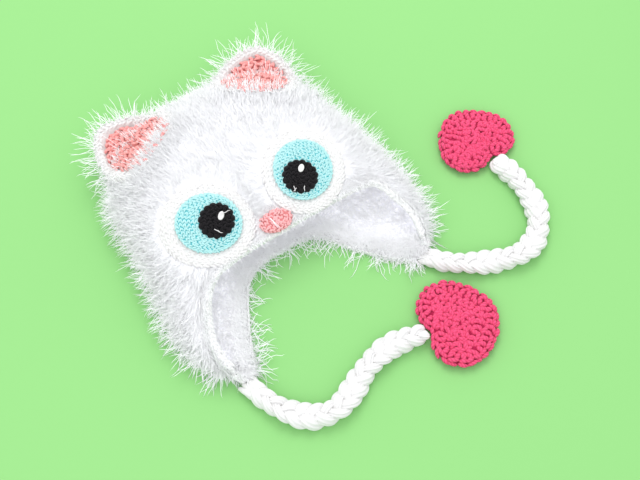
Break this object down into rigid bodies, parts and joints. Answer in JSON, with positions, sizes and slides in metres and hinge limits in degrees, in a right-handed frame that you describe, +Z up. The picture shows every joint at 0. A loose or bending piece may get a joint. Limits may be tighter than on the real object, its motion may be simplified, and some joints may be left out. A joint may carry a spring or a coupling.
{
  "type": "crocheted cat ear hat with earflaps and heart-ended ties",
  "caption": "Shaggy crocheted hat with cat ears, big eyes, a nose, earflaps and plaited ties that end in hearts.",
  "frame": {"origin": "on the surface the hat lies on, under the middle of the crown", "axes": "+X to the right of the face seen from above, +Y from the brim to the crown's far edge, +Z up out of the face"},
  "size_m": [0.3841, 0.375, 0.0633],
  "materials": {
    "white_yarn": "matte crochet",
    "white_shag": "soft eyelash yarn",
    "pink_yarn": "matte crochet",
    "blue_yarn": "matte crochet",
    "black_yarn": "matte crochet",
    "rose_yarn": "matte crochet"
  },
  "bodies": {
    "root": {"crown": "white_yarn", "brim_edging": "white_yarn", "shaggy_coat": "white_shag", "left_ear_back": "white_yarn", "left_ear_lining": "pink_yarn", "right_ear_back": "white_yarn", "right_ear_lining": "pink_yarn", "left_eye_patch": "white_yarn", "left_eye_iris": "blue_yarn", "left_eye_pupil": "black_yarn", "left_eye_glint": "white_yarn", "right_eye_patch": "white_yarn", "right_eye_iris": "blue_yarn", "right_eye_pupil": "black_yarn", "right_eye_glint": "white_yarn", "nose": "pink_yarn", "left_tie": "white_yarn", "right_tie": "white_yarn", "left_heart": "rose_yarn", "right_heart": "rose_yarn"}
  },
  "joints": []
}
